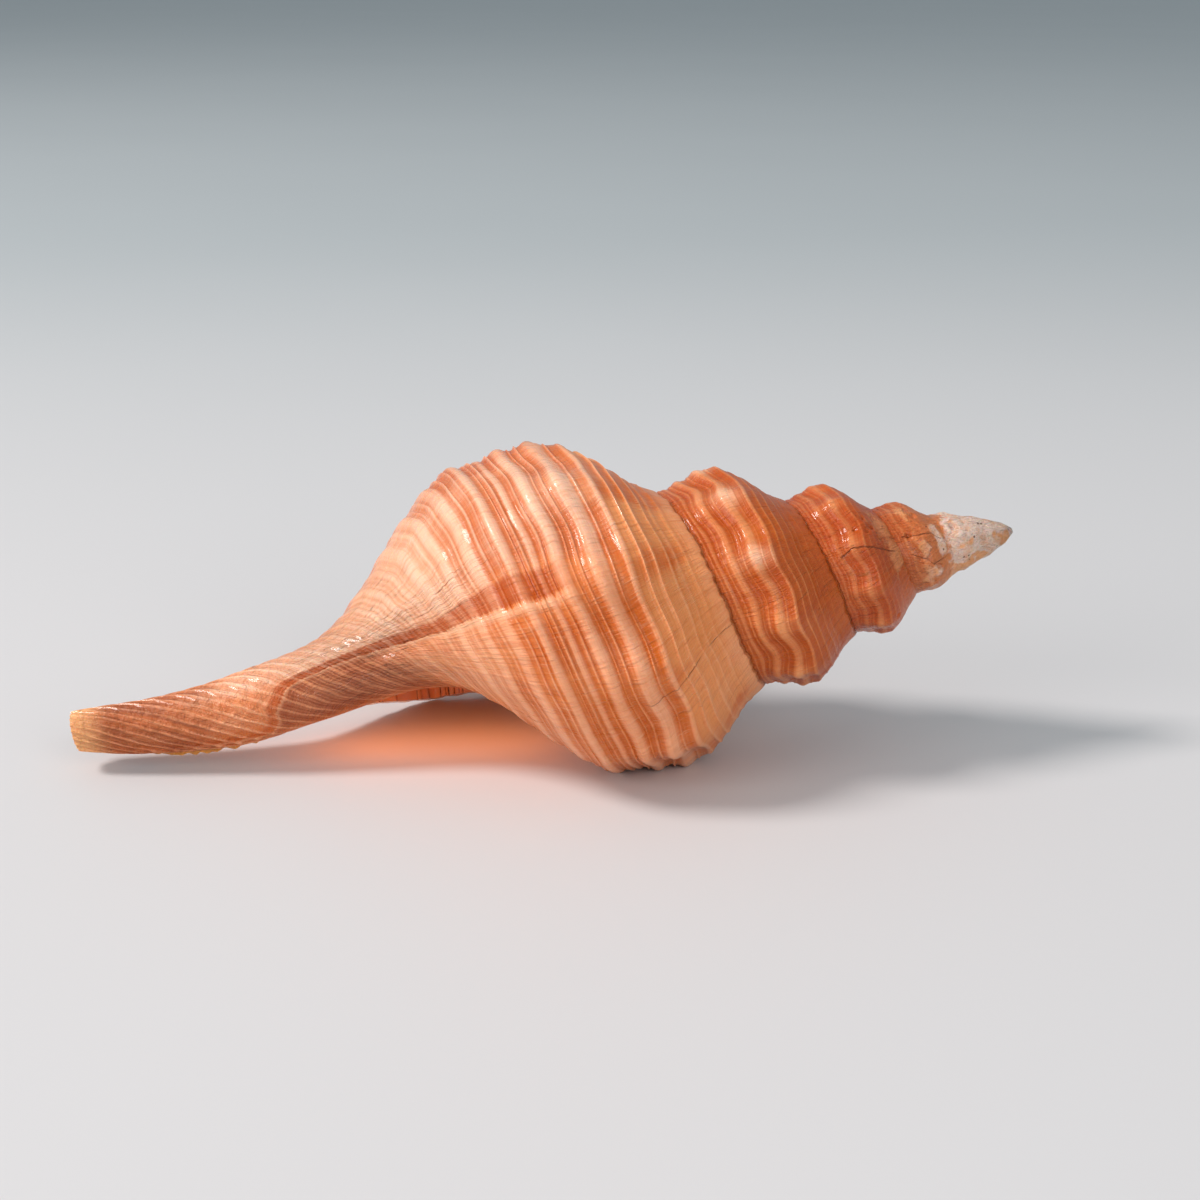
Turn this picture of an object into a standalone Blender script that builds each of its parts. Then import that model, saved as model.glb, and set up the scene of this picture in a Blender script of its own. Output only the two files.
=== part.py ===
"""A conch shell lying on its aperture: one solid that grew in one piece.

The shell is a logarithmic spiral. Every turn repeats the one before it, larger by one ratio
about one point on the axis, the pole. So one outline, drawn at the lip, gives every whorl:
a point that is q from the pole on the lip's outline lies q / ratio**turns from it on the
growth line that is so many turns older. The base of the last whorl fairs into the long,
slightly bent siphonal canal, which is open along one side.

Metres, +Z up. +X runs from the canal to the apex, and -Y is the side away from the lip.
The origin is on the resting plane, under the middle of the shell.
"""

import math

import bmesh
import bpy
import numpy as np

MM = 0.001

# Growth: how much longer and wider each turn is than the one before it, and how many are left.
LONGER = 1.49
WIDER = 1.44
WHOLE_TURNS = 5

# The whorl's outline at the lip: distance from the pole along the axis, and radius.
SUTURE = 44.4 * MM
FOOT = SUTURE * LONGER
OUTLINE = tuple(
    (along * MM, out * MM)
    for along, out in (
        (44.4, 14.1), (46.0, 14.6), (48.0, 15.7), (50.0, 17.6), (52.0, 19.2), (54.5, 19.9),
        (57.0, 19.7), (60.0, 19.3), (63.0, 19.0), (66.2, 18.8), (70.1, 18.1), (72.4, 16.6),
        (74.0, 15.1), (78.3, 10.4), (82.7, 6.3), (86.5, 4.4), (91.0, 3.2), (96.0, 2.2),
        (103.0, 1.4), (150.0, 0.6),
    )
)

# The last whorl is a little fuller: by how much, and where that starts and ends. Each start and
# end here and below is a place and the length of the change.
LAST_WHORL_SWELL = 0.085
SWELL_STARTS = (54 * MM, 9 * MM)
SWELL_ENDS = (67 * MM, 6 * MM)
SWELL_ENDS_TURNS = (0.88, 0.20)

# The upper edge of each whorl lies on the whorl above it, with a low step.
SUTURE_LIP = 0.35 * MM
SUTURE_LIP_WIDTH = 0.4 * MM
SUTURE_LIP_ENDS = (45 * MM, 12 * MM)
CLASP_WIDTH = 2.2 * MM

# Spiral cords: where their crests are on the lip's outline, and how high they stand.
CORD_WIDTH = 1.15 * MM
CORDS = tuple(
    (along * MM, high * MM)
    for along, high in (
        (54.2, 0.40), (58.0, 0.60), (61.9, 0.60), (65.0, 0.25), (67.7, 0.60), (71.1, 0.55),
        (74.0, 0.50), (76.8, 0.42), (79.8, 0.36), (83.0, 0.28),
    )
)

# Knobs on the shoulder, each drawn out below into a low rib.
KNOBS_PER_TURN = 10
KNOB_HEIGHT = 1.5 * MM
KNOB_SHARPNESS = 1.5
KNOB_PLACE = 56.8 * MM
KNOB_REACH_ABOVE = 3.5 * MM
KNOB_REACH_BELOW = 5.5 * MM

# The scar of a rest in growth, half a turn before the lip. It fades on the canal.
SCAR_TURN = 0.485
SCAR_WIDTH = 0.030
SCAR_DEPTH = 1.3 * MM
SCAR_STARTS = (56 * MM, 20 * MM)
SCAR_FADES = (84 * MM, 20 * MM)
SCAR_FADING = 0.7

# The siphonal canal and the columella inside it: distance from the pole, radius.
CANAL_END = 103.8 * MM
CANAL = tuple(
    (along * MM, out * MM)
    for along, out in (
        (44.0, 0.2), (50.0, 2.3), (60.0, 3.1), (69.0, 3.2), (79.0, 3.7), (84.0, 3.7),
        (90.0, 3.2), (96.0, 2.7), (100.0, 2.4), (104.0, 1.9),
    )
)
CANAL_BEND = tuple(
    (along * MM, up * MM)
    for along, up in (
        (46.0, 0.0), (60.0, 0.4), (68.0, 0.7), (78.0, 0.1), (90.0, -0.7), (97.0, -0.2), (104.0, 1.0)
    )
)
FAIRING = 4.0
LEAST_WHORL = 0.1 * MM
SLOT_HALF_WIDTH = 0.55 * MM
SLOT_STARTS = (80 * MM, 8 * MM)
CHANNEL_FLOOR = 0.35
CHANNEL_STARTS = (78 * MM, 12 * MM)

# The hollow behind the lip. Its wall is thinner at the lip, and where the canal is slender.
LIP_WALL = 1.0 * MM
BODY_WALL = 1.5 * MM
WALL_THICKENS = (0.0, 0.15)
WALL_SHARE = 0.36
CALLUS = 0.3 * MM
LEAST_GAP = 0.25 * MM
HOLLOW_TURNS = 2.2
HOLLOW_TOP = 46.8 * MM
HOLLOW_FOOT = 86.0 * MM
HOLLOW_LEAVES_CANAL = (0.16, 0.22)
HOLLOW_CLOSES = (0.10, 0.05)
TOP_CLOSING = 0.05
FOOT_CLOSING = 0.01
FOLDS = tuple(along * MM for along in (57.0, 60.0, 63.0))
FOLD_HEIGHT = 0.6 * MM
FOLD_WIDTH = 0.7 * MM

# The worn tip of the spire.
TIP = 3.2 * MM
TIP_RADIUS = 1.0 * MM
TIP_RINGS = 5
WEAR_STARTS = (3.2, 1.2)
TIP_WEAR = 0.10
RELIEF_WEAR = 0.6

# How the shell lies: the axis climbs to the apex, and the lip is turned below the level.
AXIS_PITCH = math.radians(11.8)
LIP_TURN = math.radians(124.0)
REST_HEIGHT = 24.42 * MM
POLE_AHEAD = 52.563 * MM
AXIS_ASIDE = -1.792 * MM

# Mesh density.
COLUMNS = 40
HOLLOW_COLUMNS = 22
SPIRE_ROWS = tuple(
    along * MM for along in (44.4, 45.3, 47.6, 50.0, 52.4, 54.2, 56.1, 58.0, 60.0, 61.9, 64.0)
)
BASE_ROWS = tuple(
    along * MM
    for along in (
        67.7, 69.4, 71.1, 72.6, 74.0, 75.4, 76.8, 78.3, 79.8, 81.4, 83.0, 85.0, 87.5, 90.0,
        92.5, 95.0, 97.5, 100.0, 102.4,
    )
)
ROWS = np.array(SPIRE_ROWS + (FOOT,) + BASE_ROWS + (CANAL_END,))
WHORL_ROWS = len(SPIRE_ROWS)
HELIX_ENDS = 78.0 * MM
WELD = 0.002 * MM

SHELL_COLOUR = (0.83, 0.38, 0.18, 1.0)
SHELL_ROUGHNESS = 0.38
SHARP_EDGE = math.radians(40)


def change(x, start, length):
    """A smooth change from 0 to 1, from start over the length."""
    share = np.clip((x - start) / length, 0.0, 1.0)
    return share * share * (3.0 - 2.0 * share)


def curve_through(points, x):
    """A smooth curve through the points, level past both ends."""
    xs, ys = np.array(points).T
    slopes = np.gradient(ys, xs)
    x = np.clip(x, xs[0], xs[-1])
    i = np.clip(np.searchsorted(xs, x) - 1, 0, len(xs) - 2)
    step = xs[i + 1] - xs[i]
    f = (x - xs[i]) / step
    start = (1 + 2 * f) * (1 - f) ** 2 * ys[i] + f * (1 - f) ** 2 * step * slopes[i]
    end = f * f * (3 - 2 * f) * ys[i + 1] + f * f * (f - 1) * step * slopes[i + 1]
    return start + end


def cords(q):
    """Height of the spiral cords above the whorl's smooth outline."""
    total = np.zeros_like(q)
    for place, height in CORDS:
        total += height * np.exp(-(((q - place) / CORD_WIDTH) ** 2))
    return total


def knobs(q, turns):
    """Height of the shoulder knobs and of the ribs below them."""
    reach = np.where(q < KNOB_PLACE, KNOB_REACH_ABOVE, KNOB_REACH_BELOW)
    across = np.exp(-(((q - KNOB_PLACE) / reach) ** 2))
    wave = 0.5 + 0.5 * np.cos(2 * math.pi * KNOBS_PER_TURN * turns)
    return KNOB_HEIGHT * across * wave**KNOB_SHARPNESS


def scar(q, turns):
    """Depth of the furrow that a rest in growth left, from the shoulder down to the canal."""
    along = change(q, *SCAR_STARTS) * (1 - SCAR_FADING * change(q, *SCAR_FADES))
    return SCAR_DEPTH * along * np.exp(-(((turns - SCAR_TURN) / SCAR_WIDTH) ** 2))


def free_outline(q, turns):
    """Radius on the lip's scale, before the whorl clasps the one above it."""
    swell = change(q, *SWELL_STARTS) * (1 - change(q, *SWELL_ENDS))
    swell *= LAST_WHORL_SWELL * (1 - change(turns, *SWELL_ENDS_TURNS))
    worn = change(turns, *WEAR_STARTS)
    radius = curve_through(OUTLINE, q) * (1 + swell) * (1 - TIP_WEAR * worn)
    relief = cords(q) + knobs(q, turns) - scar(q, turns)
    return radius + relief * (1 - RELIEF_WEAR * worn)


def whorl_radius(q, turns):
    """Radius on the lip's scale. The upper edge lies on the whorl above it, with a low step."""
    edge = np.full_like(q, SUTURE)
    above = free_outline(edge * LONGER, turns + 1) / WIDER
    clasp = (above - free_outline(edge, turns)) * np.exp(-(q - SUTURE) / CLASP_WIDTH)
    step = SUTURE_LIP * (1 - np.exp(-(q - SUTURE) / SUTURE_LIP_WIDTH))
    step *= 1 - change(q, *SUTURE_LIP_ENDS)
    return free_outline(q, turns) + clasp + step


def outer_radius(along, turns):
    """Radius of the outside, so far along the axis from the pole and so many turns old."""
    whorl = whorl_radius(along * LONGER**turns, turns) * WIDER**-turns
    canal = curve_through(CANAL, along)
    return (np.maximum(whorl, LEAST_WHORL) ** FAIRING + canal**FAIRING) ** (1 / FAIRING)


def in_row_frame(along, radius, turns):
    """Points from the distance along the axis, the radius and the age in turns."""
    slot = SLOT_HALF_WIDTH / curve_through(CANAL, along) / (2 * math.pi)
    slot *= change(along, *SLOT_STARTS)
    inside = np.clip(turns, 0, 1)
    turned = np.where(turns <= 1, slot + inside * (1 - 2 * slot), turns)
    angle = LIP_TURN - 2 * math.pi * turned
    side = radius * np.sin(angle) + AXIS_ASIDE
    up = radius * np.cos(angle) + curve_through(CANAL_BEND, along)
    x = POLE_AHEAD - along * math.cos(AXIS_PITCH) - up * math.sin(AXIS_PITCH)
    z = REST_HEIGHT - along * math.sin(AXIS_PITCH) + up * math.cos(AXIS_PITCH)
    return np.stack([x, side, z], axis=-1)


def sheet(bm, columns, rows, place):
    """A sheet of cells whose corners go where place says, from their column and row numbers."""
    corners = bmesh.ops.create_grid(bm, x_segments=columns, y_segments=rows, size=0.5)["verts"]
    at = np.array([corner.co for corner in corners])
    column = np.rint((at[:, 0] + 0.5) * columns)
    row = np.rint((at[:, 1] + 0.5) * rows).astype(int)
    for corner, point in zip(corners, place(column, row)):
        corner.co = point


def row_along(row, turns):
    """Where a row lies on the axis: on a helix round the whorl, level round the canal's end."""
    q = ROWS[row]
    helix = 1 - change(q, HELIX_ENDS, CANAL_END - HELIX_ENDS)
    return q * LONGER ** (-turns * helix)


def last_whorl(column, row):
    turns = column / COLUMNS
    along = row_along(row, turns)
    return in_row_frame(along, outer_radius(along, turns), turns)


def spire(column, row):
    """The older whorls. The oldest one narrows to nothing where the tip is worn away."""
    turns = 1 + column / COLUMNS
    left = np.clip(WHOLE_TURNS - turns, 0, 1)
    along = (FOOT - (FOOT - ROWS[row]) * left) * LONGER**-turns
    return in_row_frame(along, outer_radius(along, turns), turns)


def worn_tip(column, row):
    """Rings from the broken edge of the oldest whorl to the blunt end of the spire."""
    turns = WHOLE_TURNS - 1 + column / COLUMNS
    rim = (FOOT - (FOOT - SUTURE) * (WHOLE_TURNS - turns)) * LONGER**-turns
    rim_radius = outer_radius(rim, turns)
    share = row / TIP_RINGS
    along = rim + (TIP - rim) * share
    radius = rim_radius + (TIP_RADIUS - rim_radius) * share
    return in_row_frame(along, radius, turns)


def hollow_foot(turns):
    """Lower end of the hollow: the canal's end near the lip, further in the whorl's base."""
    inside = HOLLOW_FOOT * LONGER**-turns
    return CANAL_END + (inside - CANAL_END) * change(turns, *HOLLOW_LEAVES_CANAL)


def hollow_wall(share, turns):
    """Distance along, outer and inner radius of the hollow, share of its length from the top.

    It closes at its top, and at its foot wherever that isn't the open end of the canal.
    """
    top = HOLLOW_TOP * LONGER**-turns
    along = top + (hollow_foot(turns) - top) * share
    width = WIDER**-turns
    wall = (LIP_WALL + (BODY_WALL - LIP_WALL) * change(turns, *WALL_THICKENS)) * width
    outside = outer_radius(along, turns)
    outer = outside - np.minimum(wall, WALL_SHARE * outside)
    folds = np.zeros_like(along)
    for place in FOLDS:
        folds += FOLD_HEIGHT * np.exp(-(((along * LONGER**turns - place) / FOLD_WIDTH) ** 2))
    columella = outer_radius(along, turns + 1) + (CALLUS + folds) * width
    floor = curve_through(CANAL, along) * CHANNEL_FLOOR
    inner = columella + (floor - columella) * change(along, *CHANNEL_STARTS)
    inner = np.minimum(inner, outer - LEAST_GAP)
    meeting = 0.5 * (outer + inner)
    at_foot = np.maximum(change(1 - share, 0.0, FOOT_CLOSING), 1 - change(turns, *HOLLOW_CLOSES))
    opening = np.minimum(change(share, 0.0, TOP_CLOSING), at_foot)
    return along, meeting + (outer - meeting) * opening, meeting + (inner - meeting) * opening


def outer_share(row):
    return (ROWS[row] - SUTURE) / (CANAL_END - SUTURE)


def inner_share(row):
    """Rows of the columella, which are the last whorl's own rows one turn from the lip."""
    along = row_along(row + WHORL_ROWS, np.ones(len(row)))
    return (along - SUTURE) / (CANAL_END - SUTURE)


def hollow_outside(column, row):
    turns = HOLLOW_TURNS * column / HOLLOW_COLUMNS
    along, outer, _ = hollow_wall(outer_share(row), turns)
    return in_row_frame(along, outer, turns)


def hollow_inside(column, row):
    turns = HOLLOW_TURNS * column / HOLLOW_COLUMNS
    along, _, inner = hollow_wall(inner_share(row), turns)
    return in_row_frame(along, inner, turns)


def lip_edge(column, row):
    """The edge of the outer lip, from the outside to the hollow."""
    start = last_whorl(np.zeros_like(column), row)
    end = hollow_outside(np.zeros_like(column), row)
    return start + (end - start) * column[:, None]


def columella_edge(column, row):
    """The strip between the last whorl's far end and the columella."""
    start = last_whorl(np.full_like(column, COLUMNS), row + WHORL_ROWS)
    end = hollow_inside(np.zeros_like(column), row)
    return start + (end - start) * column[:, None]


def wear_flats(bm):
    """Where the shell touches the ground, its cords and knobs are worn flat."""
    everything = [*bm.verts, *bm.edges, *bm.faces]
    bmesh.ops.bisect_plane(
        bm, geom=everything, dist=WELD, plane_co=(0, 0, 0), plane_no=(0, 0, 1), clear_inner=True
    )
    rim = [edge for edge in bm.edges if edge.is_boundary]
    bmesh.ops.holes_fill(bm, edges=rim, sides=0)


def conch_shell():
    bm = bmesh.new()
    last = len(ROWS) - 1
    sheet(bm, COLUMNS, last, last_whorl)
    sheet(bm, COLUMNS * (WHOLE_TURNS - 1), WHORL_ROWS, spire)
    sheet(bm, COLUMNS, TIP_RINGS, worn_tip)
    sheet(bm, HOLLOW_COLUMNS, last, hollow_outside)
    sheet(bm, HOLLOW_COLUMNS, last - WHORL_ROWS, hollow_inside)
    sheet(bm, 1, last, lip_edge)
    sheet(bm, 1, last - WHORL_ROWS, columella_edge)
    bmesh.ops.remove_doubles(bm, verts=bm.verts, dist=WELD)
    bmesh.ops.dissolve_degenerate(bm, edges=bm.edges, dist=WELD)
    bmesh.ops.holes_fill(bm, edges=bm.edges, sides=0)
    wear_flats(bm)
    bmesh.ops.recalc_face_normals(bm, faces=bm.faces)
    mesh = bpy.data.meshes.new("conch_shell")
    bm.to_mesh(mesh)
    bm.free()
    return mesh


def main():
    for leftover in list(bpy.data.objects):
        bpy.data.objects.remove(leftover)
    shell = bpy.data.objects.new("conch_shell", conch_shell())
    bpy.context.scene.collection.objects.link(shell)
    finish = bpy.data.materials.new("orange_shell")
    finish.use_nodes = True
    surface = finish.node_tree.nodes["Principled BSDF"]
    surface.inputs["Base Color"].default_value = SHELL_COLOUR
    surface.inputs["Roughness"].default_value = SHELL_ROUGHNESS
    shell.data.materials.append(finish)
    shell.data.shade_smooth()
    shell.data.set_sharp_from_angle(angle=SHARP_EDGE)


main()
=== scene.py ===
"""An orange conch shell lying on its aperture, on a plain pale table."""

import math

import bmesh
import bpy
import numpy as np
from mathutils import Matrix, Vector


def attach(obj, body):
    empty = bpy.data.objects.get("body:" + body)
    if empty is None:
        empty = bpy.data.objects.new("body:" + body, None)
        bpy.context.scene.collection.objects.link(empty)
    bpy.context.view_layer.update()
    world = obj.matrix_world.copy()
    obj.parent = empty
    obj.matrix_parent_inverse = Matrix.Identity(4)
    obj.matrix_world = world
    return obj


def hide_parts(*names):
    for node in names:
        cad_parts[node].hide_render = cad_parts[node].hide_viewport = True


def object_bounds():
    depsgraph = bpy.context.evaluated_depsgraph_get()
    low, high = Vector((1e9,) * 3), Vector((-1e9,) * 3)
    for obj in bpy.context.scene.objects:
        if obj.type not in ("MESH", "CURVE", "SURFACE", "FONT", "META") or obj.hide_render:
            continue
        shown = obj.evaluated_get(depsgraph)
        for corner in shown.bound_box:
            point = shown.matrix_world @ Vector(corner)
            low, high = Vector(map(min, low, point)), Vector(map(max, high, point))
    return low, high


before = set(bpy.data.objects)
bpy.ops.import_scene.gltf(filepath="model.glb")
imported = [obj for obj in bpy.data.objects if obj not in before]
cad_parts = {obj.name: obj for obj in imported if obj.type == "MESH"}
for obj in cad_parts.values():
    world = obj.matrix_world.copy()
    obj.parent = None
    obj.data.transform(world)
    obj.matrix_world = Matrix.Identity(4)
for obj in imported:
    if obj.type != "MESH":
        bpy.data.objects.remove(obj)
cad_low, cad_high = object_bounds()

MM = 0.001

# Growth: how much longer and wider each turn is than the one before it, and how many are left.
LONGER = 1.49
WIDER = 1.44
WHOLE_TURNS = 5

# The whorl's outline at the lip: distance from the pole along the axis, and radius.
SUTURE = 44.4 * MM
FOOT = SUTURE * LONGER
OUTLINE = tuple(
    (along * MM, out * MM)
    for along, out in (
        (44.4, 14.1), (46.0, 14.6), (48.0, 15.7), (50.0, 17.6), (52.0, 19.2), (54.5, 19.9),
        (57.0, 19.7), (60.0, 19.3), (63.0, 19.0), (66.2, 18.8), (70.1, 18.1), (72.4, 16.6),
        (74.0, 15.1), (78.3, 10.4), (82.7, 6.3), (86.5, 4.4), (91.0, 3.2), (96.0, 2.2),
        (103.0, 1.4), (150.0, 0.6),
    )
)

# The last whorl's swell. Here and below, a change along the shell or with age is two numbers:
# where it starts and how far it takes.
LAST_WHORL_SWELL = 0.085
SWELL_STARTS = (54 * MM, 9 * MM)
SWELL_ENDS = (67 * MM, 6 * MM)
SWELL_FADES = (0.88, 0.20)

# The suture: the low step of each whorl's upper edge, its clasp and its wander.
SUTURE_LIP = 0.32 * MM
SUTURE_LIP_WIDTH = 0.25 * MM
SUTURE_LIP_ENDS = (45 * MM, 12 * MM)
SUTURE_LIP_WEAR = 0.85
SUTURE_LIP_WEARS = (2.1, 0.5)
CLASP_WIDTH = 2.2 * MM
SUTURE_WANDER = 0.30 * MM
SUTURE_REACH = 6 * MM
WANDER_STARTS = (0.0, 0.06)
WANDER_ENDS = (3.8, 0.15)

# Spiral cords: where their crests are on the lip's outline, and how high they stand.
CORD_WIDTH = 1.15 * MM
CORDS = tuple(
    (along * MM, high * MM)
    for along, high in (
        (54.2, 0.40), (58.0, 0.60), (61.9, 0.60), (65.0, 0.25), (67.7, 0.60), (71.1, 0.55),
        (74.0, 0.50), (76.8, 0.42), (79.8, 0.36), (83.0, 0.28),
    )
)

# Pale bands on the cords and pale threads in the grooves: crest, half width, height, paleness.
BANDS = tuple(
    (along * MM, half * MM, high * MM, pale)
    for along, half, high, pale in (
        (46.9, 0.16, 0.06, 0.45), (48.3, 0.16, 0.07, 0.45), (49.35, 0.18, 0.10, 0.60),
        (51.0, 0.20, 0.14, 0.75), (52.45, 0.20, 0.14, 0.75), (54.2, 0.36, 0.16, 0.85),
        (56.0, 0.16, 0.10, 0.55), (57.5, 0.92, 0.14, 1.00), (59.5, 0.17, 0.16, 0.75),
        (60.45, 0.13, 0.09, 0.45), (61.75, 0.75, 0.14, 1.00), (63.15, 0.16, 0.16, 0.80),
        (64.4, 0.36, 0.14, 0.85), (65.35, 0.17, 0.14, 0.70), (66.0, 0.12, 0.10, 0.50),
        (67.3, 0.54, 0.14, 1.00), (68.4, 0.14, 0.11, 0.65), (69.4, 0.18, 0.14, 0.70),
        (70.9, 0.62, 0.14, 1.00), (72.0, 0.16, 0.12, 0.75), (72.7, 0.14, 0.08, 0.45),
        (73.8, 0.52, 0.14, 1.00), (75.0, 0.20, 0.12, 0.75), (76.6, 0.42, 0.14, 0.95),
    )
)
FIRST_THREAD = 78.4 * MM
THREAD_RATIO = 1.0239
THREAD_HEIGHT = 0.20 * MM
THREAD_SHARE = 0.16
THREADS_START = (77.5 * MM, 0.6 * MM)
CANAL_THREADS = 0.22 * MM
BROAD_BAND = 0.25 * MM
BROAD_RISE = 1.5
THREAD_RISE = 2.3
SHOULDER_WIDTH = 1.15
THREAD_WEAR = 0.5
THREADS_WEAR = (0.98, 0.1)

# How far the cords stray from an even spiral.
MEANDER = 0.26 * MM
MEANDER_REACH = 2.5 * MM
KNOB_SWAY = 0.22 * MM
SPIRE_SWAY = 0.65 * MM
SWAY_GROWS = (0.9, 0.4)
SWAY_PLACE = 58.5 * MM
SWAY_REACH = 6.0 * MM
SWAY_LAG = 1.2

# Knobs on the shoulder, each drawn out below into a low rib.
KNOBS_PER_TURN = 10
KNOB_HEIGHT = 1.5 * MM
KNOB_PLACE = 56.8 * MM
KNOB_REACH_ABOVE = 3.5 * MM
KNOB_REACH_BELOW = 5.5 * MM

# The scar of a rest in growth, half a turn before the lip.
SCAR_TURN = 0.485
SCAR_WIDTH = 0.030
SCAR_DEPTH = 1.3 * MM
SCAR_STARTS = (56 * MM, 20 * MM)
SCAR_FADES = (84 * MM, 20 * MM)
SCAR_FADE = 0.7

# How growth lines bend across the whorl: distance from the pole, turns behind the line's middle.
GROWTH_BEND = tuple(
    (along * MM, turns)
    for along, turns in (
        (44.4, -0.045), (50.0, -0.022), (55.0, -0.006), (60.0, 0.0), (74.0, 0.0), (78.4, -0.005),
        (81.4, -0.018), (84.4, -0.032), (87.4, -0.038), (90.4, -0.035), (94.4, -0.018),
        (97.4, -0.005), (99.9, 0.015), (102.4, 0.055), (104.9, 0.092), (107.4, 0.15), (112.0, 0.22),
    )
)

# Ledges where growth rested: turn, height, reach in turns, first and last place.
LEDGES = tuple(
    (turn, high * MM, reach, first * MM, last * MM)
    for turn, high, reach, first, last in (
        (0.085, 0.16, 0.020, 52, 72), (0.190, 0.20, 0.020, 47, 66), (0.290, 0.14, 0.015, 54, 76),
        (0.402, 0.16, 0.020, 51, 63), (0.507, 0.38, 0.030, 61, 130), (0.542, 0.14, 0.015, 72, 84),
        (0.585, 0.10, 0.015, 44, 52), (0.632, 0.16, 0.025, 55, 66), (0.684, 0.22, 0.025, 53, 66),
        (0.770, 0.16, 0.020, 48, 70), (0.865, 0.20, 0.020, 50, 80), (0.945, 0.14, 0.015, 46, 66),
        (1.130, 0.18, 0.020, 46, 67), (1.285, 0.22, 0.020, 50, 67), (1.395, 0.22, 0.020, 50, 67),
        (1.480, 0.16, 0.020, 46, 67), (1.590, 0.22, 0.020, 50, 67), (1.760, 0.22, 0.020, 46, 67),
        (1.900, 0.20, 0.020, 48, 67), (2.210, 0.30, 0.020, 46, 67), (2.390, 0.30, 0.020, 46, 67),
        (2.585, 0.30, 0.020, 46, 67), (2.840, 0.30, 0.020, 46, 67),
    )
)
LEDGE_WANDER = 0.0022
LEDGE_DROP = 0.0035

# Pits in the old whorls: turn, place, half width in turns and along, depth on the lip's scale.
PITS = tuple(
    (turn, along * MM, wide, long * MM, deep * MM)
    for turn, along, wide, long, deep in (
        (2.462, 50.6, 0.005, 0.7, 0.9), (2.474, 52.4, 0.004, 0.6, 0.9), (2.452, 53.8, 0.004, 0.5, 0.7),
        (2.487, 49.2, 0.005, 0.6, 0.8), (2.468, 55.6, 0.004, 0.6, 0.7), (2.440, 51.8, 0.004, 0.5, 0.7),
        (2.700, 52.0, 0.006, 0.8, 0.9), (2.120, 57.0, 0.004, 0.6, 0.7), (2.920, 50.0, 0.006, 0.8, 0.9),
        (3.330, 50.0, 0.010, 1.3, 1.3), (3.410, 54.0, 0.009, 1.2, 1.3), (3.620, 52.0, 0.010, 1.4, 1.4),
        (3.480, 60.0, 0.010, 1.2, 1.3), (3.820, 55.0, 0.012, 1.4, 1.6), (3.050, 56.0, 0.008, 1.1, 1.2),
        (4.300, 52.0, 0.020, 2.0, 2.0), (4.450, 58.0, 0.018, 2.0, 2.2), (4.620, 55.0, 0.020, 2.0, 2.0),
        (4.120, 60.0, 0.018, 1.8, 1.8), (4.820, 58.0, 0.022, 2.2, 2.2),
    )
)

# Cracks: points of each, as turn and place.
CRACKS = (
    (
        (0.583, 44.4), (0.603, 50.4), (0.611, 52.0), (0.616, 53.0), (0.625, 55.7), (0.630, 58.0),
        (0.631, 61.6),
    ),
    ((2.523, 47.1), (2.516, 50.0), (2.511, 53.1), (2.506, 58.3), (2.518, 61.8)),
    ((3.504, 47.0), (3.481, 50.1), (3.486, 55.5), (3.480, 62.5)),
    ((3.592, 49.5), (3.599, 54.5), (3.576, 56.1), (3.548, 61.6)),
)
CRACK_DEPTH = 0.12 * MM
CRACK_JAG = 0.0011
CRACK_SIDES = (0.006, 0.006)

# Stains and worn patches on the old whorls: turn, place, half width in turns and along.
OLIVE_STAINS = ((2.445, 57.5, 0.014, 2.2), (2.560, 58.5, 0.032, 3.2), (2.605, 55.5, 0.025, 2.6))
CHALK_PATCHES = (
    (2.44, 47.0, 0.05, 3.4), (2.53, 46.0, 0.06, 3.4), (3.38, 58.0, 0.05, 3.0),
    (3.54, 55.5, 0.035, 3.6), (3.50, 47.5, 0.10, 3.0), (3.64, 56.0, 0.04, 6.0), (2.05, 47.0, 0.08, 2.5),
    (2.85, 48.0, 0.09, 3.5), (3.15, 52.0, 0.08, 5.0), (3.90, 55.0, 0.10, 8.0),
)
PITTED = (
    (2.462, 54.0, 0.035, 3.0), (2.480, 50.0, 0.035, 2.5), (3.46, 50.5, 0.05, 4.0),
    (3.58, 48.5, 0.06, 3.5), (2.08, 54.0, 0.03, 3.0), (2.80, 52.0, 0.04, 4.0),
    (3.10, 56.0, 0.06, 5.0),
)

# The siphonal canal and the columella inside it: distance from the pole, radius.
CANAL_END = 103.8 * MM
CANAL = tuple(
    (along * MM, out * MM)
    for along, out in (
        (44.0, 0.2), (50.0, 2.3), (60.0, 3.1), (69.0, 3.2), (79.0, 3.7), (84.0, 3.7),
        (90.0, 3.2), (96.0, 2.7), (100.0, 2.4), (104.0, 1.9),
    )
)
CANAL_STARTS = (80 * MM, 8 * MM)
CANAL_BEND = tuple(
    (along * MM, up * MM)
    for along, up in (
        (46.0, 0.0), (60.0, 0.4), (68.0, 0.7), (78.0, 0.1), (90.0, -0.7), (97.0, -0.2), (104.0, 1.0)
    )
)
FAIRING = 4.0
CANAL_LEDGES = 0.5

# The thin ragged flange under the canal: turn, half width in turns, ends along the axis, height.
FLANGE_TURN = 0.885
FLANGE_WIDTH = 0.012
FLANGE_STARTS = (80.0 * MM, 9 * MM)
FLANGE_STOPS = (96.0 * MM, 1.5 * MM)
FLANGE_HEIGHT = 1.2 * MM

# The canal's slot and floor.
SLOT_HALF_WIDTH = 0.55 * MM
CHANNEL_FLOOR = 0.35

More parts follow.
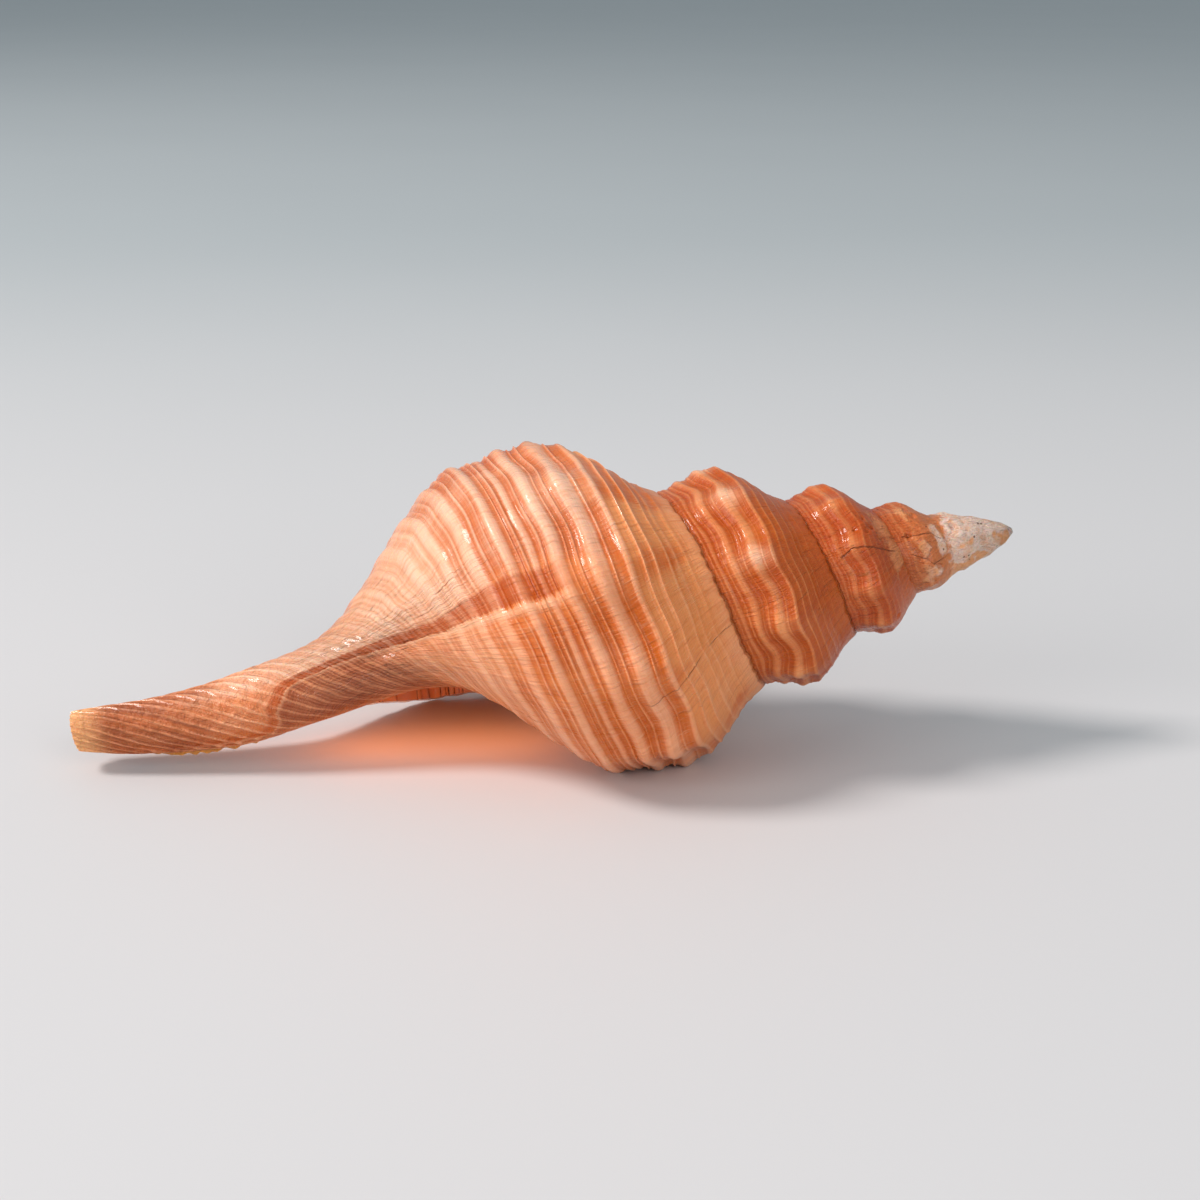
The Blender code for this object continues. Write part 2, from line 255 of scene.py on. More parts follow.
# The hollow behind the lip.
LIP_WALL = 1.0 * MM
BODY_WALL = 1.5 * MM
WALL_SHARE = 0.36
CALLUS = 0.3 * MM
LEAST_GAP = 0.25 * MM
HOLLOW_TURNS = 2.2
HOLLOW_TOP = 46.8 * MM
HOLLOW_FOOT = 86.0 * MM
FOOT_DRAWS_IN = (0.16, 0.22)
WALL_THICKENS = (0.0, 0.15)
FLOOR_STARTS = (78 * MM, 12 * MM)
FOLDS = tuple(along * MM for along in (57.0, 60.0, 63.0))
FOLD_HEIGHT = 0.6 * MM
FOLD_WIDTH = 0.7 * MM
CRENULATION = 0.0012
LIP_RELIEF = 0.45
LIP_REACH = 0.03

# The worn tip of the spire.
TIP = 3.2 * MM
TIP_RADIUS = 0.80 * MM
TIP_RINGS = 12
WORN_TURN = 2.8
TIP_WEAR = 0.10
RELIEF_WEAR = 0.6
CORD_WEAR = 0.55
CORDS_WEAR = (1.5, 1.3)
WORN_LUMPS = 0.35 * MM
TIP_CHIPS = 0.16 * MM
TIP_ROUNDING = 0.88
# The whorls near the tip are worn towards one even cone, through these on the lip's scale.
WORN_CONE = ((44.4 * MM, 13.5 * MM), (66.2 * MM, 19.3 * MM))
CONE_SHARE = 0.55

# How the shell lies: the axis climbs to the apex, and the lip is turned below the level.
AXIS_PITCH = math.radians(11.8)
LIP_TURN = math.radians(124.0)
REST_HEIGHT = 24.42 * MM
POLE_AHEAD = 52.563 * MM
AXIS_ASIDE = -1.792 * MM

# Mesh density.
COLUMNS = 160
CLOSE_COLUMNS = 20
CLOSE_TURNS = (0.468, 0.532)
HOLLOW_COLUMNS = 44
LIP_CELLS = 3
WIDEST_ROW = 0.42 * MM
CLOSEST_ROW = 0.13 * MM
WELD = 0.002 * MM
# Rows lie on these marks: past the suture, across the bands in half widths, across each thread.
SUTURE_MARKS = (0.15 * MM, 0.4 * MM)
FOOT_MARK = 1.35
EDGE_MARK = 0.8
WIDE_BAND = 0.3 * MM
THREAD_MARKS = (-0.22, 0.0, 0.22, 0.5)
SHARP_ANGLE = math.radians(52)

# How wide the pale bands are drawn, how pale the knobs are, and how far the suture shows, in mm.
BAND_SPREAD = 1.10
KNOB_PALENESS = 0.22
OLD_KNOB_PALENESS = 0.50
KNOBS_PALER = (0.95, 0.1)
SEAM_REACH = 3.0
UPPER_SEAM_FADES = (1.9, 0.4)
LOWER_SEAM_FADES = (2.9, 0.4)

# Where the finish changes, on the lip's outline.
RAMP_ENDS = (53.2 * MM, 2 * MM)
# Where the rest scar's furrow is painted dark: partly stain, partly painted shade.
SCAR_STAIN_AND_SHADE_STARTS = (60 * MM, 5 * MM)
BASE_STARTS = (70 * MM, 7 * MM)
# The canal's lower side is painted darker: partly dusky colour, partly painted shade.
DUSK_AND_SHADE_PLACE = (82 * MM, 8 * MM)
SCAR_STAIN_AND_SHADE_FADES = (98 * MM, 14 * MM)

# Along the axis from the pole.
WORN_FADES = (9 * MM, 9 * MM)
CHALK_FADES = (9.5 * MM, 3 * MM)
CANAL_SKIN = (74 * MM, 12 * MM)
CANAL_TOP = (86 * MM, 7 * MM)
CANAL_RIM = (99.5 * MM, 4 * MM)

# In turns.
BASE_AGE = ((0.2, 0.1), (0.60, 0.12))
# The top of the body whorl, where the cords are painted paler as a highlight.
PAINTED_HIGHLIGHT_AGE = ((0.28, 0.10), (0.45, 0.05))
BASE_DULLS = (0.475, 0.02)
# The canal's lower side, painted darker: partly dusky colour, partly painted shade.
DUSK_AND_SHADE_AGE = ((0.500, 0.02), (0.66, 0.14))
SPIRE_AGE = (0.97, 0.04)
# The top of the penultimate whorl, where the knob tops are painted paler as a highlight.
LIT_KNOBS_AGE = ((1.22, 0.08), (1.50, 0.08))
OLD_AGE = (1.6, 0.8)
PITTED_AGE = (3.7, 0.4)

# Colours of the shell.
GROOVES = ((0.55, 0.088, 0.001), (0.65, 0.138, 0.007))
WARM_ZONES = (0.72, 0.190, 0.034)
CORD_TOPS = ((0.85, 0.315, 0.130), (0.93, 0.455, 0.265))
PALE_BASE = (0.98, 0.56, 0.34)
# Painted highlight on the cords at the top of the body whorl.
PAINTED_HIGHLIGHT_CORDS = (0.99, 0.66, 0.48)
RAMP_GROOVES = ((0.84, 0.295, 0.090), (0.68, 0.135, 0.010))
RAMP_CORDS = ((0.87, 0.335, 0.128), (0.94, 0.45, 0.23))
OLD_GROOVES = ((0.42, 0.046, 0.0), (0.56, 0.108, 0.001))
OLDEST_GROOVES = ((0.37, 0.030, 0.0), (0.58, 0.094, 0.001))
OLD_CORDS = ((0.80, 0.220, 0.034), (0.97, 0.44, 0.19))
DARK_STROKES = (0.60, 0.12, 0.010)
PALE_STROKES = (0.96, 0.56, 0.34)
# Dark in the rest scar's furrow: partly stain, partly painted shade.
FURROW_STAIN_AND_SHADE = (0.47, 0.068, 0.001)
FURROW_EDGE = (0.90, 0.50, 0.30)
# The canal's lower side: dusky colour, partly painted shade.
DUSK_AND_SHADE_GROOVES = ((0.20, 0.024, 0.001), (0.30, 0.044, 0.003))
DUSK_AND_SHADE_THREADS = (0.68, 0.25, 0.11)
CANAL_RINGS = ((0.27, 0.038, 0.003), (0.48, 0.100, 0.017))
CANAL_THREAD = (0.82, 0.34, 0.16)
CANAL_RIM_PALE = (0.98, 0.50, 0.22)
FLANGE_AMBER = (0.96, 0.42, 0.09)
WORN_TAN = ((0.80, 0.23, 0.055), (0.93, 0.42, 0.18))
CHALK = ((0.93, 0.40, 0.17), (0.99, 0.60, 0.41))
CHALK_WHITE = (1.0, 0.76, 0.64)
CHALK_ORANGE = (1.0, 0.40, 0.13)
OLIVE_DIRT = (0.26, 0.085, 0.008)
PIT_SHADE = (0.16, 0.036, 0.006)
SUTURE_LINE = (0.34, 0.075, 0.010)
CRACK_LINE = (0.26, 0.050, 0.006)
LIP_EDGE = (0.93, 0.46, 0.22)
NACRE = ((0.82, 0.26, 0.075), (0.90, 0.42, 0.19))

# Colours of the table next to the shell, and further back, where it is painted darker and cooler as
# shade where the lamps' light falls off.
TABLE_NEAR = ((0.64, 0.635, 0.64), (0.67, 0.665, 0.67))
TABLE_FAR_SHADED = ((0.46, 0.50, 0.515), (0.48, 0.52, 0.535))
TABLE_SHADE_FADE = (0.02, 0.45)

# The camera.
CAMERA_AIM = Vector((5.758, 0.0, 16.544)) * MM
CAMERA_AWAY = 211.694 * MM
CAMERA_YAW = math.radians(-6.0)
CAMERA_RISE = math.radians(18.0)
CAMERA_ROLL = math.radians(0.464)
CAMERA_LENS = 60.0

# Light of the room, and round lamps: name, place in metres, width, power and tint.
ROOM = (0.37, 0.41, 0.435, 1.0)
LAMPS = (
    ("window", (-0.98, -0.02, 1.08), 0.42, 16.0, (1.0, 0.93, 0.90)),
    ("side", (-1.20, -0.70, 0.55), 0.80, 6.6, (1.0, 0.95, 0.92)),
    ("front", (0.60, -1.30, 0.75), 1.00, 6.4, (1.0, 0.96, 0.94)),
)

# The glow on the table: name, place, length and width, power.
GLOW_COLOUR = (1.0, 0.25, 0.04)
GLOW = (
    ("glow_near", Vector((-9.0, 1.5, 5.5)) * MM, (28 * MM, 9 * MM), 0.0009),
    ("glow_far", Vector((-30.0, 1.0, 5.0)) * MM, (30 * MM, 5 * MM), 0.0004),
)


def change(x, start, length):
    """A smooth change from 0 to 1, from start over the length."""
    share = np.clip((x - start) / length, 0.0, 1.0)
    return share * share * (3.0 - 2.0 * share)


def curve_through(points, x):
    """A smooth curve through the points, level past both ends."""
    xs, ys = np.array(points).T
    slopes = np.gradient(ys, xs)
    x = np.clip(x, xs[0], xs[-1])
    i = np.clip(np.searchsorted(xs, x) - 1, 0, len(xs) - 2)
    step = xs[i + 1] - xs[i]
    f = (x - xs[i]) / step
    start = (1 + 2 * f) * (1 - f) ** 2 * ys[i] + f * (1 - f) ** 2 * step * slopes[i]
    end = f * f * (3 - 2 * f) * ys[i + 1] + f * f * (f - 1) * step * slopes[i + 1]
    return start + end


def ripple(*terms):
    """A slow irregular wave between about -1 and 1, from a few unlike sines."""
    return sum(np.sin(term) for term in terms) / len(terms)


def thread_wave(q):
    """The even fine threads of the base and canal: 1 on each crest, 0 between."""
    steps = np.log(np.maximum(q, 1 * MM) / FIRST_THREAD) / math.log(THREAD_RATIO)
    off = steps - np.rint(steps)
    return np.exp(-((off / THREAD_SHARE) ** 2)) * change(q, *THREADS_START)


def meander(q, turns):
    """How far a cord strays along the axis. Nothing strays at the sutures."""
    sway = ripple(turns * 41 + q / (5 * MM), turns * 83 - q / (3.1 * MM), turns * 19 + q / (7 * MM) + 2)
    free = change(q, SUTURE, MEANDER_REACH) * change(np.abs(q - FOOT), 0.0, MEANDER_REACH)
    round_knobs = np.sin(2 * math.pi * KNOBS_PER_TURN * turns + SWAY_LAG)
    round_knobs = round_knobs * np.exp(-(((q - SWAY_PLACE) / SWAY_REACH) ** 2))
    amount = KNOB_SWAY + (SPIRE_SWAY - KNOB_SWAY) * change(turns, *SWAY_GROWS)
    return (MEANDER * sway + amount * round_knobs) * free


def cords(q, turns):
    """Height of the spiral cords, bands and threads above the whorl's smooth outline."""
    q = q - meander(q, turns)
    total = THREAD_HEIGHT * thread_wave(q)
    for place, height in CORDS:
        total = total + height * np.exp(-(((q - place) / CORD_WIDTH) ** 2))
    thread_wear = 1 - THREAD_WEAR * change(turns, *THREADS_WEAR)
    for place, half, height, _ in BANDS:
        rise = height * (BROAD_RISE if half > BROAD_BAND else THREAD_RISE)
        total += thread_wear * rise * np.exp(-(((q - place) / (half * SHOULDER_WIDTH)) ** 4))
    at_lip = LIP_RELIEF + (1 - LIP_RELIEF) * change(turns, 0.0, LIP_REACH)
    return total * at_lip * (1 - CORD_WEAR * change(turns, *CORDS_WEAR))


def knobs(q, turns):
    """Height of the shoulder knobs and of the ribs below them."""
    reach = np.where(q < KNOB_PLACE, KNOB_REACH_ABOVE, KNOB_REACH_BELOW)
    across = np.exp(-(((q - KNOB_PLACE) / reach) ** 2))
    wave = 0.5 + 0.5 * np.cos(2 * math.pi * KNOBS_PER_TURN * turns)
    return KNOB_HEIGHT * across * wave**1.5


def scar(q, turns):
    """Depth of the furrow that a rest in growth left, from the shoulder down to the canal."""
    along = change(q, *SCAR_STARTS) * (1 - SCAR_FADE * change(q, *SCAR_FADES))
    return SCAR_DEPTH * along * np.exp(-(((turns - SCAR_TURN) / SCAR_WIDTH) ** 2))


def growth_age(q, turns):
    """Turns counted along the bent growth lines."""
    return turns - curve_through(GROWTH_BEND, q)


def ledges(q, turns):
    """Each ledge is an old lip: it stands proud on its older side and drops off on the newer."""
    wander = LEDGE_WANDER * ripple(q / (0.9 * MM), q / (0.37 * MM) + 1.0, q / (2.3 * MM) + 4.0)
    age = growth_age(q, turns) + wander
    total = np.zeros_like(q)
    for turn, height, reach, first, last in LEDGES:
        after = np.maximum(age - turn, 0.0)
        across = change(q, first, 2 * MM) * (1 - change(q, last, 2 * MM))
        total += height * across * np.exp(-after / reach) * change(age, turn, LEDGE_DROP)
    return total


def pits(q, turns):
    """Depth of the pits in the old whorls, on the lip's scale."""
    total = np.zeros_like(q)
    for turn, place, wide, long, depth in PITS:
        off = ((turns - turn) / wide) ** 2 + ((q - place) / long) ** 2
        total += depth * np.exp(-(off**1.5))
    return total


def cracks(q, turns):
    """Signed distance in turns from the nearest crack, and how near that crack is, 0 to 1."""
    side = np.full_like(q, 1.0)
    near = np.zeros_like(q)
    for points in CRACKS:
        turn, place = np.array(points).T
        place = place * MM
        jag = CRACK_JAG * ripple(q / (0.21 * MM), q / (0.5 * MM), q / (1.1 * MM))
        off = turns - np.interp(q, place, turn) - jag
        past = np.maximum(np.maximum(place[0] - q, q - place[-1]), 0.0)
        closer = np.abs(off) < np.abs(side)
        side = np.where(closer, off, side)
        here = (1 - change(np.abs(off), *CRACK_SIDES)) * (1 - change(past, 0.0, 1.0 * MM))
        near = np.maximum(near, here)
    return side, near


def free_outline(q, turns):
    """Radius on the lip's scale, before the whorl clasps the one above it."""
    swell = change(q, *SWELL_STARTS) * (1 - change(q, *SWELL_ENDS))
    swell *= LAST_WHORL_SWELL * (1 - change(turns, *SWELL_FADES))
    worn = change(turns, WORN_TURN, 1.0)
    radius = curve_through(OUTLINE, q) * (1 + swell)
    (start, thin), (end, thick) = WORN_CONE
    cone = thin + (thick - thin) * (q - start) / (end - start)
    radius = (radius + (cone - radius) * CONE_SHARE * worn) * (1 - TIP_WEAR * worn)
    lumps = ripple(turns * 37 + q / (3 * MM), turns * 71 - q / (2 * MM), turns * 23 + q / (5 * MM))
    radius = radius + WORN_LUMPS * worn * lumps
    relief = cords(q, turns) + knobs(q, turns) - scar(q, turns)
    relief = relief * (1 - RELIEF_WEAR * worn)
    return radius + relief + ledges(q, turns) - pits(q, turns)


def wander(turns):
    """How far the suture strays from its even spiral, on the lip's scale."""
    stray = SUTURE_WANDER * ripple(turns * 23, turns * 61 + 2, turns * 131 + 1, turns * 307)
    return stray * change(turns, *WANDER_STARTS) * (1 - change(turns, *WANDER_ENDS))


def whorl_radius(q, turns):
    """Radius on the lip's scale. The upper edge lies on the whorl above it, with a low step."""
    edge = SUTURE + wander(turns)
    above = free_outline(edge * LONGER, turns + 1) / WIDER
    past = np.maximum(q - edge, 0.0)
    clasp = (above - free_outline(edge, turns)) * np.exp(-past / CLASP_WIDTH)
    step = SUTURE_LIP * (1 - np.exp(-past / SUTURE_LIP_WIDTH))
    step *= (1 - change(q, *SUTURE_LIP_ENDS)) * (1 - SUTURE_LIP_WEAR * change(turns, *SUTURE_LIP_WEARS))
    return free_outline(q, turns) + clasp + step


def flange(along, turns):
    """Height of the thin ragged flange that hangs under the canal."""
    ends = change(along, *FLANGE_STARTS) * (1 - change(along, *FLANGE_STOPS))
    ragged = 0.75 + 0.25 * ripple(along / (0.45 * MM), along / (0.21 * MM), along / (1.3 * MM))
    return FLANGE_HEIGHT * ends * ragged * np.exp(-(((turns - FLANGE_TURN) / FLANGE_WIDTH) ** 2))


def outer_radius(along, turns):
    """Radius of the outside, so far along the axis from the pole and so many turns old."""
    q = along * LONGER**turns
    whorl = whorl_radius(q, turns) * WIDER**-turns
    canal = curve_through(CANAL, along)
    fair = (np.maximum(whorl, 0.1 * MM) ** FAIRING + canal**FAIRING) ** (1 / FAIRING)
    on_canal = change(along, *CANAL_STARTS) * change(1.0 - turns, 0.0, 0.02)
    relief = CANAL_THREADS * thread_wave(q - meander(q, turns)) + CANAL_LEDGES * ledges(q, turns)
    return fair + relief * on_canal + flange(along, turns)


def in_row_frame(along, radius, turns):
    """Points from the distance along the axis, the radius and the age in turns."""
    slot = SLOT_HALF_WIDTH / curve_through(CANAL, along) / (2 * math.pi)
    slot *= change(along, *CANAL_STARTS)
    inside = np.clip(turns, 0, 1)
    turned = np.where(turns <= 1, slot + inside * (1 - 2 * slot), turns)
    angle = LIP_TURN - 2 * math.pi * turned
    side = radius * np.sin(angle) + AXIS_ASIDE
    up = radius * np.cos(angle) + curve_through(CANAL_BEND, along)
    x = POLE_AHEAD - along * math.cos(AXIS_PITCH) - up * math.sin(AXIS_PITCH)
    z = REST_HEIGHT - along * math.sin(AXIS_PITCH) + up * math.cos(AXIS_PITCH)
    return np.stack([x, side, z], axis=-1)


def rows_between(first, last, marks, widest):
    """Rows from first to last: on every mark, and no further apart than the widest step."""
    kept = [first]
    for mark in sorted(marks):
        if mark - kept[-1] > CLOSEST_ROW and last - mark > CLOSEST_ROW:
            kept.append(mark)
    kept.append(last)
    rows = []
    for here, there in zip(kept, kept[1:]):
        cells = math.ceil((there - here) / widest)
        rows += [here + (there - here) * i / cells for i in range(cells)]
    return rows


def sculpture_marks():
    """The crest and feet of every band and thread, and both edges of the wide bands."""
    marks = [SUTURE + past for past in SUTURE_MARKS]
    for place, half, _, _ in BANDS:
        marks += [place, place - FOOT_MARK * half, place + FOOT_MARK * half]
        if half > WIDE_BAND:
            marks += [place - EDGE_MARK * half, place + EDGE_MARK * half]
    return marks


def thread_marks(last):
    """The crest, both flanks and the groove of every even thread, up to the last place."""
    count = math.ceil(math.log(last / FIRST_THREAD) / math.log(THREAD_RATIO))
    shares = [thread + share for thread in range(count) for share in THREAD_MARKS]
    return [FIRST_THREAD * THREAD_RATIO**share for share in shares]


# The last row is one that the canal's end meets one turn from the lip.
LAST_ROW = CANAL_END * LONGER
MARKS = sculpture_marks() + thread_marks(LAST_ROW)
SPIRE_ROWS = rows_between(SUTURE, FOOT, [m for m in MARKS if m < FOOT], WIDEST_ROW)
BASE_ROWS = rows_between(FOOT, LAST_ROW, [m for m in MARKS if m > FOOT], 2 * WIDEST_ROW)
ROWS = np.array(SPIRE_ROWS + BASE_ROWS + [LAST_ROW])
WHORL_ROWS = len(SPIRE_ROWS)


def turn_of(column):
    """Turns at a column: the columns stand closer where the rest scar crosses the whorl."""
    whole, part = np.divmod(column, COLUMNS)
    first, last = CLOSE_TURNS
    wide = (1 - (last - first)) / (COLUMNS - CLOSE_COLUMNS)
    before = round(first / wide)
    at = (0, before, before + CLOSE_COLUMNS, COLUMNS)
    return whole + np.interp(part, at, (0.0, first, last, 1.0))


def row_along(row, turns):
    """Where a row lies on the axis. Rows follow the cords until they run out at the canal's end."""
    q = ROWS[row]
    at_suture = wander(turns) * (1 - change(q, SUTURE, SUTURE_REACH))
    at_foot = LONGER * wander(turns - 1) * (1 - change(FOOT - q, 0.0, SUTURE_REACH))
    q = q + at_suture + np.where(q > FOOT, 0.0, at_foot) + meander(q, turns)
    return np.minimum(q * LONGER**-turns, CANAL_END)


def sheet(bm, columns, rows, inside, place):
    """A sheet of cells whose corners go where place says, from their column and row numbers.

    Place gives points, ages in turns and distances along. Each corner keeps its age and its
    place on the lip's outline in a map, and whether it is in the hollow.
    """
    growth = bm.loops.layers.uv["growth"]
    hollow = bm.verts.layers.float["hollow"]
    corners = bmesh.ops.create_grid(bm, x_segments=columns, y_segments=rows, size=0.5)["verts"]
    at = np.array([corner.co for corner in corners])
    column = np.rint((at[:, 0] + 0.5) * columns)
    row = np.rint((at[:, 1] + 0.5) * rows).astype(int)
    points, turns, along = place(column, row)
    lip_scale = along * LONGER**turns / (10 * MM)
    for i, corner in enumerate(corners):
        corner.co = points[i]
        corner[hollow] = inside
        for loop in corner.link_loops:
            loop[growth].uv = (turns[i], lip_scale[i])


def last_whorl(column, row):
    """The body whorl and the canal, one turn back from the crenulated lip."""
    turns = turn_of(column)
    along = row_along(row, turns)
    q = along * LONGER**turns
    edge = CRENULATION * (0.5 + 0.5 * ripple(q / (0.55 * MM), q / (0.31 * MM) + 2.0))
    turns = turns + edge * change(0.02 - turns, 0.0, 0.02) * change(100 * MM - along, 0.0, 9 * MM)
    return in_row_frame(along, outer_radius(along, turns), turns), turns, along


def spire(column, row):
    """The older whorls. The oldest one narrows to nothing where the tip is worn away."""
    turns = 1 + turn_of(column)
    left = np.clip(WHOLE_TURNS - turns, 0, 1)
    foot = row_along(np.full(len(row), WHORL_ROWS), turns)
    along = foot - (foot - row_along(row, turns)) * left
    return in_row_frame(along, outer_radius(along, turns), turns), turns, along


def worn_tip(column, row):
    """Rings from the broken edge of the oldest whorl to the blunt end of the spire."""
    turns = WHOLE_TURNS - 1 + turn_of(column)
    foot = row_along(np.full(len(row), WHORL_ROWS), turns)
    rim = foot - (foot - row_along(np.zeros(len(row), int), turns)) * (WHOLE_TURNS - turns)
    rim_radius = outer_radius(rim, turns)
    share = row / TIP_RINGS
    along = rim + (TIP - rim) * share
    radius = rim_radius + (TIP_RADIUS - rim_radius) * share
    chips = ripple(turns * 12.6 + 9 * share, turns * 31.4 - 7 * share, share * 19 + turns * 6.3)
    radius = radius + TIP_CHIPS * chips * np.sin(math.pi * share)
    radius = radius * np.sqrt(1 - TIP_ROUNDING * change(share, 0.75, 0.25) ** 2)
    return in_row_frame(along, radius, turns), turns, along


def hollow_foot(turns):
    """Lower end of the hollow: the canal's end near the lip, further in the whorl's base."""
    inside = HOLLOW_FOOT * LONGER**-turns
    return CANAL_END + (inside - CANAL_END) * change(turns, *FOOT_DRAWS_IN)


def hollow_wall(share, turns):
    """Distance along, outer and inner radius of the hollow, share of its length from the top."""
    top = HOLLOW_TOP * LONGER**-turns
    along = top + (hollow_foot(turns) - top) * share
    width = WIDER**-turns
    wall = (LIP_WALL + (BODY_WALL - LIP_WALL) * change(turns, *WALL_THICKENS)) * width
    outside = outer_radius(along, turns)
    outer = outside - np.minimum(wall, WALL_SHARE * outside)
    folds = np.zeros_like(along)
    for place in FOLDS:
        folds += FOLD_HEIGHT * np.exp(-(((along * LONGER**turns - place) / FOLD_WIDTH) ** 2))
    columella = outer_radius(along, turns + 1) + (CALLUS + folds) * width
    floor = curve_through(CANAL, along) * CHANNEL_FLOOR
    inner = columella + (floor - columella) * change(along, *FLOOR_STARTS)
    inner = np.minimum(inner, outer - LEAST_GAP)
    meeting = 0.5 * (outer + inner)
    at_foot = np.maximum(change(1 - share, 0.0, 0.01), 1 - change(turns, 0.10, 0.05))
    opening = np.minimum(change(share, 0.0, 0.05), at_foot)
    return along, meeting + (outer - meeting) * opening, meeting + (inner - meeting) * opening


def outer_share(row):
    """Rows of the hollow's outer side, which are the last whorl's own rows at the lip."""
    return (row_along(row, np.zeros(len(row))) - SUTURE) / (CANAL_END - SUTURE)


def inner_share(row):
    """Rows of the columella, which are the last whorl's own rows one turn from the lip."""
    along = row_along(row + WHORL_ROWS, np.ones(len(row)))
    return (along - SUTURE) / (CANAL_END - SUTURE)


def hollow_outside(column, row):
    """The inside of the outer wall, from the lip back."""
    turns = HOLLOW_TURNS * column / HOLLOW_COLUMNS
    along, outer, _ = hollow_wall(outer_share(row), turns)
    return in_row_frame(along, outer, turns), turns, along


def hollow_inside(column, row):
    """The columella with its folds, from the lip back."""
    turns = HOLLOW_TURNS * column / HOLLOW_COLUMNS
    along, _, inner = hollow_wall(inner_share(row), turns)
    return in_row_frame(along, inner, turns), turns, along


def between(start, end, share):
    """Points, ages and distances that lie a share of the way from start to end."""
    return [a + (b - a) * (share[:, None] if a.ndim > 1 else share) for a, b in zip(start, end)]


def lip_edge(column, row):
    """The edge of the outer lip, rounded from the outside to the hollow."""
    start = last_whorl(np.zeros_like(column), row)
    end = hollow_outside(np.zeros_like(column), row)
    return between(start, end, column / LIP_CELLS)


def columella_edge(column, row):
    """The strip between the last whorl's far end and the columella."""
    start = last_whorl(np.full_like(column, COLUMNS), row + WHORL_ROWS)
    end = hollow_inside(np.zeros_like(column), row)
    return between(start, end, column)


def conch_mesh():
    """The whole shell as one closed mesh."""
    bm = bmesh.new()
    bm.loops.layers.uv.new("growth")
    bm.verts.layers.float.new("hollow")
    last = len(ROWS) - 1
    sheet(bm, HOLLOW_COLUMNS, last, 1.0, hollow_outside)
    sheet(bm, HOLLOW_COLUMNS, last - WHORL_ROWS, 1.0, hollow_inside)
    sheet(bm, LIP_CELLS, last, 0.5, lip_edge)
    sheet(bm, 1, last - WHORL_ROWS, 0.5, columella_edge)
    sheet(bm, COLUMNS, last, 0.0, last_whorl)
    sheet(bm, COLUMNS * (WHOLE_TURNS - 1), WHORL_ROWS, 0.0, spire)
    sheet(bm, COLUMNS, TIP_RINGS, 0.0, worn_tip)
    bmesh.ops.remove_doubles(bm, verts=bm.verts, dist=WELD)
    bmesh.ops.dissolve_degenerate(bm, edges=bm.edges, dist=WELD)
    bmesh.ops.holes_fill(bm, edges=bm.edges, sides=0)
    low, high = np.array(cad_low), np.array(cad_high)
    for corner in bm.verts:
        corner.co = np.clip(corner.co, low, high)
    bmesh.ops.recalc_face_normals(bm, faces=bm.faces)
    mesh = bpy.data.meshes.new("conch_shell")
    bm.to_mesh(mesh)
    bm.free()
    return mesh


def paleness(q, turns):
    """How pale the shell is across its cords: 1 on the broad bands, 0 in the orange grooves."""
    total = np.zeros_like(q)
    crest = knobs(q, turns) / KNOB_HEIGHT
    q = q - meander(q, turns)
    for place, half, _, pale in BANDS:
        total = np.maximum(total, pale * np.exp(-(((q - place) / (half * BAND_SPREAD)) ** 4)))
    return total + (KNOB_PALENESS + OLD_KNOB_PALENESS * change(turns, *KNOBS_PALER)) * crest**2


def seam(q, turns):
    """Distance in mm from the suture above or below, and no more than its reach."""
    reach = SEAM_REACH * MM
    below = q - SUTURE - wander(turns) + reach * change(turns, *UPPER_SEAM_FADES)
    above = (FOOT + LONGER * wander(turns - 1) - q) / LONGER + reach * change(turns, *LOWER_SEAM_FADES)
    above = np.where(turns > 0.999, above, reach)
    return np.clip(np.minimum(below, above) / MM, 0.0, SEAM_REACH)


def blots(q, turns, places):
    """Soft blots at the places, 1 in the middle of each."""
    total = np.zeros_like(q)
    for turn, place, wide, long in places:
        off = ((turns - turn) / wide) ** 2 + ((q - place * MM) / (long * MM)) ** 2
        total = np.maximum(total, np.exp(-off))
    return total


def during(age, start, end):
    """1 from the change at the start to the change at the end, 0 outside."""
    return change(age, *start) * (1 - change(age, *end))


